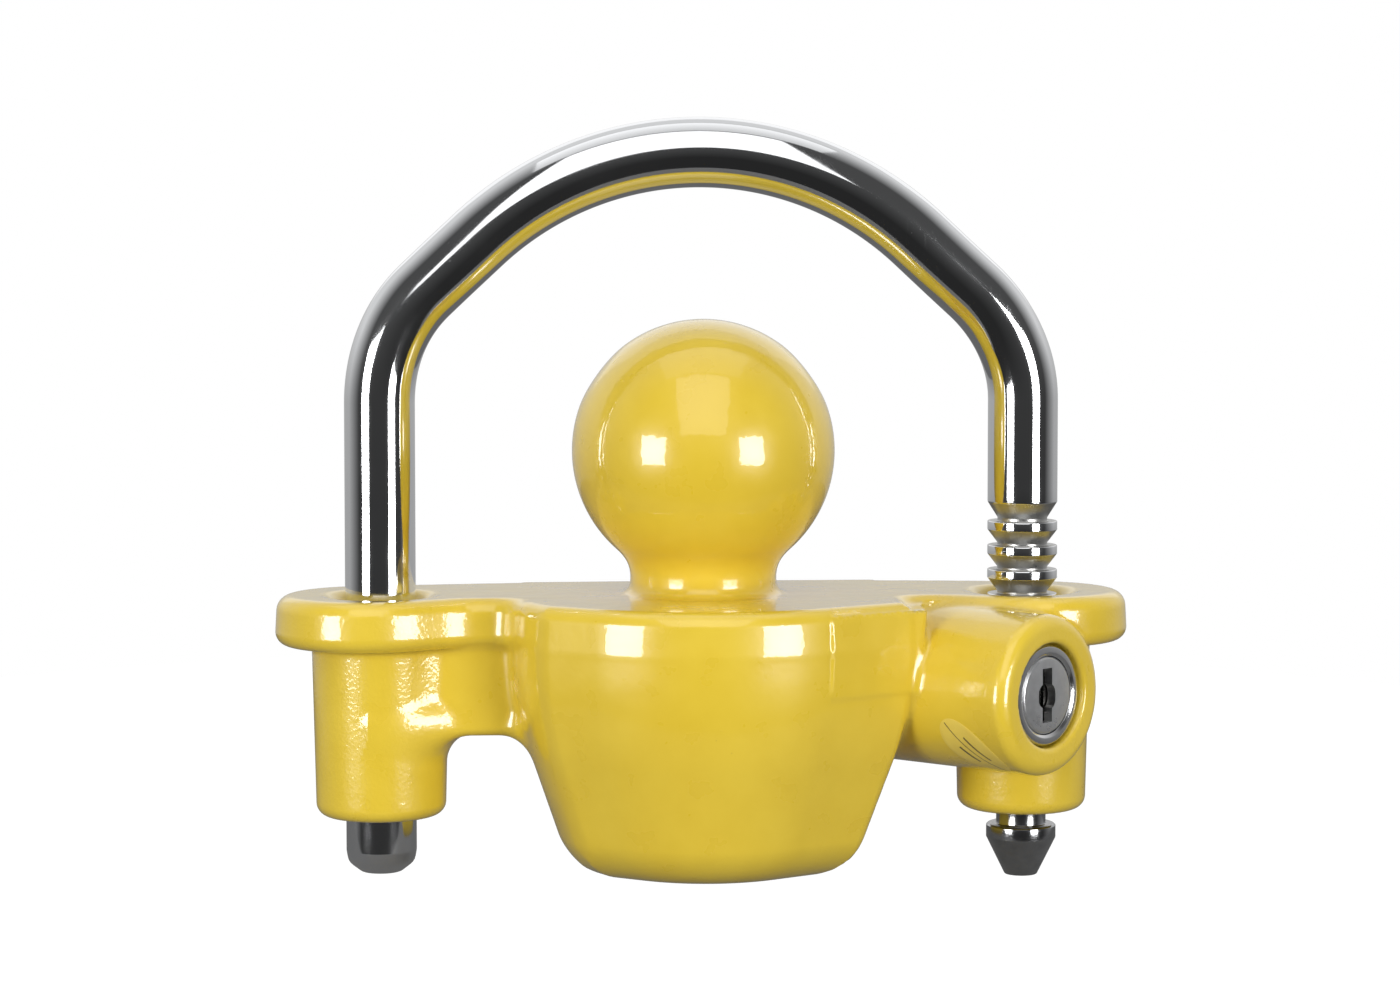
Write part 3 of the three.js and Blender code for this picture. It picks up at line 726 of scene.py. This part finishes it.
# ------------------------------------------------------------------ cast body
k = 1.0
P, Q, NRM = surface(
    body_field,
    spaced((-79.2, -35.0, 0.66 * k), (-35.0, 35.0, 0.92 * k), (35.0, 79.2, 0.66 * k)),
    spaced((-38.6, 24.6, 0.72 * k)),
    spaced((-1.4, 51.8, 0.70 * k), (51.8, 101.6, 1.0 * k)),
    relax=5)
casting = new_object("cast_body", P, Q, normals=NRM)
print("cast_body", len(P), "vertices", len(Q), "faces")
dress(casting, M_ENAMEL, "casting", ["coupler_body"])

# ------------------------------------------------------------------ shackle
ROD_R, LEG_TOP, BEND_R, BEND_A, ARCH_R = 6.35, 84.7, 27.5, math.radians(47), 58.4
LEFT_TIP, RIGHT_TIP = -0.3, -2.3
ROOT_R, PITCH, TOP_SHOULDER = 4.525, 4.41, 62.7
LAND, ROOT, TAPER = 1.6, 0.41, 2.4
apex_half = ARCH_R * math.sin(math.pi / 2 - BEND_A)
b_dx, b_dz = BEND_R * (1 - math.cos(BEND_A)), BEND_R * math.sin(BEND_A)
slope_len = (LEG_X - b_dx - apex_half) / math.sin(BEND_A)
L1 = LEG_TOP - LEFT_TIP; L2 = L1 + BEND_R * BEND_A; L3 = L2 + slope_len
L4 = L3 + 2 * ARCH_R * (math.pi / 2 - BEND_A); L5 = L4 + slope_len; L6 = L5 + BEND_R * BEND_A
arch_z = LEG_TOP + b_dz + slope_len * math.cos(BEND_A) - ARCH_R * math.sin(BEND_A)


def centreline(s):
    right = s > (L3 + L4) / 2
    q = np.where(right, L3 + L4 - s, s)
    out = np.zeros((len(s), 4))
    a = np.clip((q - L1) / BEND_R, 0, BEND_A)
    b = BEND_A + (q - L3) / ARCH_R
    for sel, x, z, tx, tz in (
        (q <= L1, -LEG_X + 0 * q, LEFT_TIP + q, 0 * q, 1 + 0 * q),
        ((q > L1) & (q <= L2), -LEG_X + BEND_R * (1 - np.cos(a)), LEG_TOP + BEND_R * np.sin(a), np.sin(a), np.cos(a)),
        ((q > L2) & (q <= L3), -LEG_X + b_dx + (q - L2) * math.sin(BEND_A), LEG_TOP + b_dz + (q - L2) * math.cos(BEND_A), math.sin(BEND_A) + 0 * q, math.cos(BEND_A) + 0 * q),
        (q > L3, -ARCH_R * np.cos(b), arch_z + ARCH_R * np.sin(b), np.sin(b), np.cos(b)),
    ):
        out[sel] = np.stack([x, z, tx, tz], 1)[sel]
    out[right, 0] *= -1
    out[right, 3] *= -1
    return out


z2s = lambda z: L6 + (LEG_TOP - z)
head = [(0, 0, 0), (3.6, 0.05, 1.4), (6.0, 1.9, 2.6), (ROD_R, 4.0, 1.5)]
mid = []
for a, b, n in ((4.0, L1, 24), (L1, L2, 26), (L2, L3, 7), (L3, L4, 96), (L4, L5, 7), (L5, L6, 26), (L6, z2s(66.2), 7)):
    for i in range(1, n + 1):
        mid.append((ROD_R, a + (b - a) * i / n, 0))
mid[-1] = (ROD_R, z2s(66.2), 0.5)
tail = [(ROOT_R, z2s(63.3), 0.35), (ROOT_R, z2s(TOP_SHOULDER), 0.12), (ROD_R, z2s(TOP_SHOULDER), 0.22)]
for i in range(12):
    z = TOP_SHOULDER - PITCH * i - LAND
    if i < 11:
        tail += [(ROD_R, z2s(z), 0.16), (ROOT_R, z2s(z - TAPER), 0.3), (ROOT_R, z2s(z - TAPER - ROOT), 0.1), (ROD_R, z2s(z - TAPER - ROOT), 0.22)]
    else:
        tail += [(ROD_R, z2s(z), 0.16), (ROOT_R, z2s(z - TAPER), 0.3), (ROOT_R, z2s(7.05), 0.2), (ROD_R - 0.3, z2s(7.05), 0.05), (ROD_R, z2s(6.75), 0.1)]
tail += [(ROD_R, z2s(4.6), 0.3), (2.95, z2s(RIGHT_TIP), 0.35), (0, z2s(RIGHT_TIP), 0)]
prof = rounded_profile(head + mid + tail, n=3)
SEG = 72
ang = 2 * np.pi * np.arange(SEG) / SEG
cl = centreline(prof[:, 1])
V, F, ring = [], [], []
for i, (r, s) in enumerate(prof):
    x, z, tx, tz = cl[i]
    x -= 0.65 * float(ramp(z, 86.0, 110.0))      # the arch leans a little towards the plain leg
    if r < 1e-6:
        ring.append([len(V)]); V.append((x, 0, z))
    else:
        ring.append(list(range(len(V), len(V) + SEG)))
        for a in ang:
            V.append((x + r * math.cos(a) * tz, r * math.sin(a), z - r * math.cos(a) * tx))
for i in range(len(prof) - 1):
    A, B = ring[i], ring[i + 1]
    for j in range(SEG):
        jj = (j + 1) % SEG
        if len(A) == 1: F.append((A[0], B[jj], B[j]))
        elif len(B) == 1: F.append((A[j], A[jj], B[0]))
        else: F.append((A[j], A[jj], B[jj], B[j]))
shackle = new_object("shackle_bar", V, F, sharp=50)
fix_outward(shackle)
shackle.data.materials.append(M_BAR)
shackle.data.materials.append(M_GROOVE)
shackle.data.materials.append(M_TIP)
# grooves stay as turned: every face of the ratchet leg that isn't on a land
for p in shackle.data.polygons:
    c = p.center / MM
    if c.x > 40 and c.z < 66.0:
        rr = math.hypot(c.x - LEG_X, c.y)
        p.material_index = 2 if c.z < 9.4 else 1 if rr < ROD_R - 0.09 else 0
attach(shackle, "shackle"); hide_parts("shackle")

# ------------------------------------------------------------------ lock shell
R = 128
shell = turned("lock_shell_cup", rounded_profile([
    (6.2, 24.2, 0), (8.4, 24.2, 0.3), (8.4, 3.75, 0.1), (9.0, 3.7, 0.2), (9.0, 1.55, 0.3), (8.62, 1.05, 0.25), (7.55, 1.0, 0.3), (7.0, 1.35, 0.15),
    (7.0, 12.8, 0.05), (2.9, 12.8, 0.1), (2.9, 14.0, 0.1), (6.2, 14.0, 0.1), (6.2, 24.2, 0)], n=3)[:-1], seg=R, closed=True)
combine(shell, [block("c1", -3.1, 3.1, 2.4, 12.8, -7.45, 7.45), block("c2", 3.5, 10, 17.0, 21.8, -4.2, 4.2)])
dress(shell, M_SHELL, "casting", ["lock_shell"])

# ------------------------------------------------------------------ plug
KEYWAY = [(-1.35, 4.8), (-1.35, 2.0), (-1.9, 1.65), (-2.4, 1.0), (-2.5, 0.0), (-2.45, -1.1), (-2.0, -1.7), (-1.35, -2.1), (-1.35, -4.8), (1.35, -4.8),
          (1.35, -2.4), (1.95, -2.0), (2.3, -1.2), (2.35, 0.0), (2.2, 0.9), (1.8, 1.5), (1.35, 1.8), (1.35, 4.8)]
plug = turned("lock_plug_core", rounded_profile([
    (0, 1.2, 0), (6.5, 1.2, 0.12), (6.85, 1.5, 0.15), (6.85, 12.6, 0.1), (2.6, 12.6, 0.1), (2.6, 14.1, 0.05), (2.05, 14.1, 0.05), (2.05, 15.1, 0.05), (0, 15.1, 0)], n=2), seg=R)
cuts = [prism("kw", [KEYWAY], 0.2, 12.2)]
for i in range(5):
    s = 2.9 + 1.95 * i
    cuts.append(block("w", -3.2, 3.2, s, s + 1.4, -8, 8))
    cuts.append(block("p", 3.0, 5.2, s, s + 1.4, -0.9, 4.0))
combine(plug, cuts)
combine(plug, [block("sq", -1.75, 1.75, 15.0, 16.0, -1.75, 1.75)], op="UNION")
dress(plug, M_FACE, "plug", ["lock_plug"])

# ------------------------------------------------------------------ wafers, springs
W_TOP, W_BOT = [3.9, 3.3, 3.7, 3.0, 3.5], [-3.2, -3.8, -3.4, -4.0, -3.6]


def arc_pts(cx, cy, r, a0, a1, n):
    return [(cx + r * math.cos(math.radians(a0 + (a1 - a0) * i / n)), cy + r * math.sin(math.radians(a0 + (a1 - a0) * i / n))) for i in range(n + 1)]


for i in range(5):
    s0 = 2.9 + 1.95 * i + 0.3
    outer = (arc_pts(0, 0, 6.42, 243.2, 296.8, 10) + [(2.9, -0.6)] + arc_pts(4.6, -0.35, 0.25, 270, 360, 3) + arc_pts(4.6, 0.35, 0.25, 0, 90, 3) + [(2.9, 0.6)]
             + arc_pts(0, -0.6, 6.1, 61.6, 118.4, 10))
    outer = [(u, max(v, -6.1)) for u, v in outer]
    hole = [(-1.5, W_BOT[i]), (1.5, W_BOT[i]), (1.5, W_TOP[i]), (-1.5, W_TOP[i])]
    w = prism(f"wafer_plate_{i + 1}", [outer, hole], s0, s0 + 0.8, bevel=0.06)
    dress(w, M_WAFER_SHADE_DARK, f"wafer_{i + 1}", [f"wafer_{i + 1}"])
    t = np.linspace(0, 1, 4 * 18 + 1)
    pts = np.stack([4.35 + 0.36 * np.cos(8 * np.pi * t), np.full(len(t), s0 + 0.4) + 0.36 * np.sin(8 * np.pi * t), 0.92 + 2.76 * t], 1)
    sp = swept(f"wafer_coil_{i + 1}", to_world(pts), 0.12, sides=8)
    dress(sp, M_SPRING, "plug", [f"wafer_spring_{i + 1}"])
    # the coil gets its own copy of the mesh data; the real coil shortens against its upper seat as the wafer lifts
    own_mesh(sp)

# ------------------------------------------------------------------ clip, cam, bolt, spring, cap, pin
clip = prism("tail_clip", [arc_pts(0, 0, 4.4, -60, 240, 48) + arc_pts(0, 0, 2.4, 240, -60, 36)], 14.35, 14.85, bevel=0.08)
dress(clip, M_STEEL, "plug", ["plug_clip"])

cam = turned("cam_disc", rounded_profile([(0, 15.3, 0), (4.6, 15.3, 0.2), (4.6, 17.0, 0.25), (0, 17.0, 0)], n=3), seg=96)
pin = turned("cam_pin", rounded_profile([(0, 16.5, 0), (1.0, 16.5, 0.02), (1.0, 21.0, 0.25), (0, 21.0, 0)], n=3), seg=40)
pin.data.transform(Matrix.Translation(Vector(ACR * -0.925 * MM) + Vector((0, 0, 0.925 * MM))))
combine(cam, [pin], op="UNION")
combine(cam, [block("sock", -2.1, 2.1, 15.0, 16.3, -2.1, 2.1)])
dress(cam, M_STEEL, "plug", ["lock_cam"])

bolt = block("bolt_body", -4.4, 5.3, 17.3, 21.5, -3.9, 3.9, bevel=0.3)
nose = prism("nose", [[(4.5, -1.8), (9.2, -1.8), (9.33, -1.7), (9.33, -1.55), (7.8, 0.34), (7.66, 0.4), (4.5, 0.4)]], 17.5, 21.3, bevel=0.08)
combine(bolt, [nose], op="UNION")
slot_pts = arc_pts(-0.925, 1.6, 1.35, 0, 180, 14) + arc_pts(-0.925, 0.975, 1.35, 180, 360, 14)
rod_hole = turned("sh", [(0, -5.0), (1.2, -5.0), (1.2, 2.5), (0, 2.5)], seg=40)
rod_hole.data.transform(LOCK_M @ Matrix(((0, 1, 0, 0), (1, 0, 0, 19.4 * MM), (0, 0, -1, -2.15 * MM), (0, 0, 0, 1))) @ LOCK_M.inverted())
fix_outward(rod_hole)
combine(bolt, [prism("sl", [slot_pts], 16.5, 22.5), rod_hole])
dress(bolt, M_STEEL, "bolt", ["lock_bolt"])

t = np.linspace(0, 1, 7 * 22 + 1)
pts = np.stack([-5.35 + 7.3 * t, 19.4 + 0.8 * np.cos(14 * np.pi * t), -2.15 + 0.8 * np.sin(14 * np.pi * t)], 1)
bs = swept("bolt_coil", to_world(pts), 0.2, sides=10)
dress(bs, M_SPRING, "casting", ["bolt_spring"])

cap = turned("chamber_disc", rounded_profile([(0, 22.1, 0), (5.9, 22.1, 0.3), (5.9, 23.9, 0.2), (2.6, 23.9, 0.2), (2.4, 23.5, 0.2), (0, 23.5, 0)], n=3), seg=96)
dress(cap, M_STEEL, "casting", ["chamber_cap"])

# slotted spring pin: a C section whose ends are chamfered
sec_o = arc_pts(0, 0, 1.0, 20, 340, 40)
V, F = [], []
levels = [(-14.0, 1.08, 0.76), (-13.7, 1.25, 0.7), (-7.35, 1.25, 0.7), (-7.05, 1.08, 0.76)]
for z, ro, ri in levels:
    V += [(u * ro, 15.6 + v * ro, z) for u, v in sec_o] + [(u * ri, 15.6 + v * ri, z) for u, v in sec_o[::-1]]
n = 2 * len(sec_o)
for a in range(len(levels) - 1):
    for i in range(n):
        F.append((a * n + i, a * n + (i + 1) % n, (a + 1) * n + (i + 1) % n, (a + 1) * n + i))
m_ = len(sec_o)
for lv in (0, len(levels) - 1):
    for i in range(m_ - 1):
        F.append((lv * n + i, lv * n + i + 1, lv * n + n - 2 - i, lv * n + n - 1 - i))
rp = new_object("roll_pin", to_world(np.array(V)), F, sharp=35)
fix_outward(rp)
dress(rp, M_STEEL, "casting", ["shell_roll_pin"])

# ------------------------------------------------------------------ label wrapped on the lock boss
LA, LS, LU, LV, TH = math.radians(222), 9.4, 7.6, 4.3, 0.98
nr, na = 14, 64
V, UVS, F = [], [], []


def label_point(u, v, lift):
    """u, v: along the label's long and short axis, mm."""
    c, s = math.cos(TH), math.sin(TH)
    ds, da = u * c - v * s, u * s + v * c
    s_ = LS - ds
    a = LA + da / LOCK_BOSS_R
    r = LOCK_BOSS_R + 0.012 * s_ + lift
    # ride over the rounded edge of the face
    if s_ < 2.5:
        r = r - 2.5 + math.sqrt(max(2.5 ** 2 - (2.5 - s_) ** 2, 0.0))
    return (r * math.cos(a), s_, r * math.sin(a))


for lift in (0.09, -0.12):
    V.append(label_point(0, 0, lift)); UVS.append((0.5, 0.5))
    for i in range(1, nr + 1):
        q = i / nr
        for j in range(na):
            a = 2 * math.pi * j / na
            edge = lift - (0.05 if (i == nr and lift > 0) else 0.0)
            V.append(label_point(q * LU * math.cos(a), q * LV * math.sin(a), edge))
            UVS.append((0.5 + 0.5 * q * math.cos(a), 0.5 + 0.5 * q * math.sin(a)))
half = len(V) // 2
for off, flip in ((0, False), (half, True)):
    for j in range(na):
        jj = (j + 1) % na
        f = [(off, off + 1 + j, off + 1 + jj)]
        for i in range(nr - 1):
            a, b = off + 1 + i * na, off + 1 + (i + 1) * na
            f.append((a + j, b + j, b + jj, a + jj))
        F += [q[::-1] if flip else q for q in f]
o1 = 1 + (nr - 1) * na
for j in range(na):
    jj = (j + 1) % na
    F.append((o1 + j, half + o1 + j, half + o1 + jj, o1 + jj))
label = new_object("oval_label", to_world(np.array(V)), F, sharp=50)
uvl = label.data.uv_layers.new(name="UVMap")
for lp in label.data.loops:
    uvl.data[lp.index].uv = UVS[lp.vertex_index]
fix_outward(label)
dress(label, M_LABEL, "casting", ["inspection_label"])

# ------------------------------------------------------------------ stage, light, camera
bm = bmesh.new()
bmesh.ops.create_circle(bm, cap_ends=True, segments=96, radius=0.32)
me = bpy.data.meshes.new("floor"); bm.to_mesh(me); bm.free()
floor = bpy.data.objects.new("floor", me)
floor.location = (0, 0.20, -0.0245)
scene.collection.objects.link(floor)
fm, fnt, fb = material("pale_floor", (0.16, 0.16, 0.16), 0.8)
fb.inputs["Specular IOR Level"].default_value = 0.0
fb.inputs["Emission Color"].default_value = (1, 1, 1, 1)
fg = Net(fnt)
dist = fg.n("ShaderNodeVectorMath", operation="LENGTH")
fg.link(fg.pos, dist.inputs[0])
seen = fg.n("ShaderNodeLightPath").outputs["Is Camera Ray"]
# painted shade: the floor's glow seen by the camera is dimmer towards the middle of the disc, near the object, and
# full at the rim
glow_with_painted_shade = fg.range(dist.outputs["Value"], 0.10, 0.32, 0.88, 1.0)
fg.link(fg.math("ADD", fg.math("MULTIPLY", seen, glow_with_painted_shade), 0.03), fb.inputs["Emission Strength"])
floor.data.materials.append(fm)

CAM_YAW = 4.115
cam = bpy.data.objects.new("camera", bpy.data.cameras.new("camera"))
scene.collection.objects.link(cam)
cam.location = (-0.0455, -0.6344, 0.118)
cam.rotation_euler = (math.radians(90 - 3.2393), 0, math.radians(-CAM_YAW))
cam.data.lens, cam.data.sensor_width = 90.454, 36
cam.data.shift_x, cam.data.shift_y = -0.0029, -0.06
cam.data.clip_start, cam.data.clip_end = 0.01, 20
scene.camera = cam


def panel(name, az, el, dist, w, h, power, color=(1, 1, 1), target=(0, 0, 0.06), spread=180):
    """An area light seen az degrees to the right of the camera's direction, el above the horizon."""
    a, e = math.radians(az - CAM_YAW), math.radians(el)
    ld = bpy.data.lights.new(name, "AREA")
    ld.shape, ld.size, ld.size_y, ld.energy, ld.color = "RECTANGLE", w, h, power, color
    ld.spread = math.radians(spread)
    o = bpy.data.objects.new(name, ld)
    t = Vector(target)
    o.location = t + Vector((math.sin(a) * math.cos(e), -math.cos(a) * math.cos(e), math.sin(e))) * dist
    o.rotation_euler = (o.location - t).to_track_quat("Z", "Y").to_euler()
    scene.collection.objects.link(o)
    return o


panel("soft_left", -44, 2.8, 1.25, 0.48, 0.50, 9.6)
panel("soft_right", 42.5, 2.8, 1.25, 0.48, 0.52, 9.9)
panel("front_high", 0, 45, 1.25, 0.95, 1.30, 5.4)
panel("overhead", 0, 92, 1.3, 1.3, 0.8, 1.8)
panel("behind", 180, 30, 1.8, 2.2, 1.0, 2.4)

world = bpy.data.worlds.new("studio"); scene.world = world
world.use_nodes = True
wn = world.node_tree
for n_ in list(wn.nodes): wn.nodes.remove(n_)
tc = wn.nodes.new("ShaderNodeTexCoord")
sp_ = wn.nodes.new("ShaderNodeSeparateXYZ")
wn.links.new(tc.outputs["Generated"], sp_.inputs[0])
mr = wn.nodes.new("ShaderNodeMapRange")
mr.inputs["From Min"].default_value, mr.inputs["From Max"].default_value = -0.35, 0.45
mr.inputs["To Min"].default_value, mr.inputs["To Max"].default_value = 0.065, 0.66
wn.links.new(sp_.outputs["Y"], mr.inputs["Value"])
lp_ = wn.nodes.new("ShaderNodeLightPath")
mx = wn.nodes.new("ShaderNodeMix"); mx.data_type = "FLOAT"
wn.links.new(lp_.outputs["Is Camera Ray"], mx.inputs[0])
mz = wn.nodes.new("ShaderNodeMapRange")
mz.inputs["From Min"].default_value, mz.inputs["From Max"].default_value = -0.30, 0.30
mz.inputs["To Min"].default_value, mz.inputs["To Max"].default_value = 0.35, 1.15
wn.links.new(sp_.outputs["Z"], mz.inputs["Value"])
mm_ = wn.nodes.new("ShaderNodeMath"); mm_.operation = "MULTIPLY"
wn.links.new(mr.outputs["Result"], mm_.inputs[0])
wn.links.new(mz.outputs["Result"], mm_.inputs[1])
wn.links.new(mm_.outputs[0], mx.inputs[2])
mx.inputs[3].default_value = 1.0
bg = wn.nodes.new("ShaderNodeBackground")
bg.inputs["Color"].default_value = (1, 1, 1, 1)
wn.links.new(mx.outputs[0], bg.inputs["Strength"])
wo = wn.nodes.new("ShaderNodeOutputWorld")
wn.links.new(bg.outputs[0], wo.inputs[0])

scene.view_settings.view_transform = "Standard"
